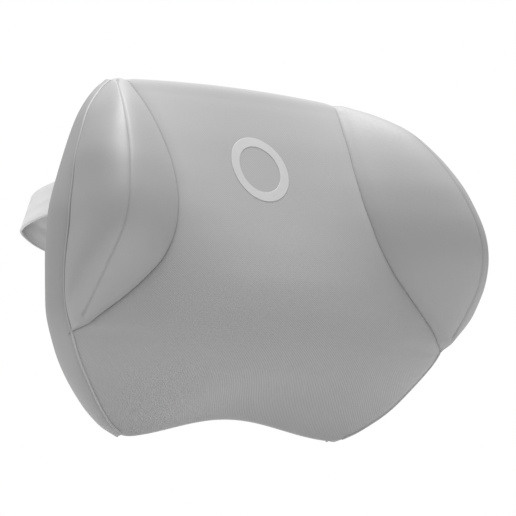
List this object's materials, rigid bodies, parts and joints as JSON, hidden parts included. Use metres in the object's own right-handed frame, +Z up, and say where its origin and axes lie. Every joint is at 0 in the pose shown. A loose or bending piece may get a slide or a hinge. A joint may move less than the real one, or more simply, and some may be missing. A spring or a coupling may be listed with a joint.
{
  "type": "lumbar support cushion",
  "caption": "Winged foam lumbar cushion with a zipped cover, raised side wings, an arched lower edge and a buckled elastic strap behind.",
  "frame": {"origin": "middle of the flat back face, which lies against the chair's backrest", "axes": "+X to the right seen from the front, +Y backwards into the chair's backrest, +Z up"},
  "size_m": [0.3328, 0.1469, 0.2535],
  "materials": {
    "foam": "moulded slow-recovery polyurethane foam",
    "knit": "fine woven polyester, mid grey, foam backed",
    "leatherette": "smooth matt polyurethane leather, mid grey",
    "backing": "grippy dotted backing cloth",
    "label": "blank satin ribbon",
    "mark": "heat-pressed film, light grey, plain ring",
    "tape": "woven zipper tape",
    "coil": "nylon coil",
    "zipper_metal": "grey painted zinc",
    "webbing": "light grey herringbone elastic webbing",
    "keeper": "sewn elastic loop",
    "buckle": "moulded acetal, fine texture"
  },
  "bodies": {
    "cushion": {"foam_core": "foam", "centre_panel": "knit", "wing_panel_left": "leatherette", "wing_panel_right": "leatherette", "side_gusset_left": "leatherette", "side_gusset_right": "leatherette", "back_panel_upper": "backing", "back_panel_lower": "backing", "care_label": "label", "front_mark": "mark", "zipper_tape_upper": "tape", "zipper_tape_lower": "tape", "zipper_coil_upper": "coil", "zipper_coil_lower": "coil", "zipper_stops": "zipper_metal", "strap_left": "webbing", "strap_right": "webbing", "buckle_socket": "buckle"},
    "zipper_slider": {"zipper_slider": "zipper_metal"},
    "zipper_pull": {"zipper_pull": "zipper_metal"},
    "buckle_plug": {"buckle_plug": "buckle"},
    "strap_keeper": {"strap_keeper": "keeper"}
  },
  "joints": [
    {"name": "zipper_slide", "type": "slide", "parent": "cushion", "child": "zipper_slider", "axis": [1, 0, 0], "range_m": [-0.19, 0]},
    {"name": "pull_swing", "type": "hinge", "parent": "zipper_slider", "child": "zipper_pull", "pos_m": [0.097, 0.0021, -0.062], "axis": [0, 0, -1], "range_deg": [0, 160]},
    {"name": "buckle_release", "type": "slide", "parent": "cushion", "child": "buckle_plug", "axis": [1, 0, 0], "range_m": [-0.03, 0], "deforming": ["strap_left", "buckle_plug"]},
    {"name": "keeper_slide", "type": "slide", "parent": "cushion", "child": "strap_keeper", "axis": [0.9841, 0.1776, 0], "range_m": [-0.013, 0.013]}
  ]
}
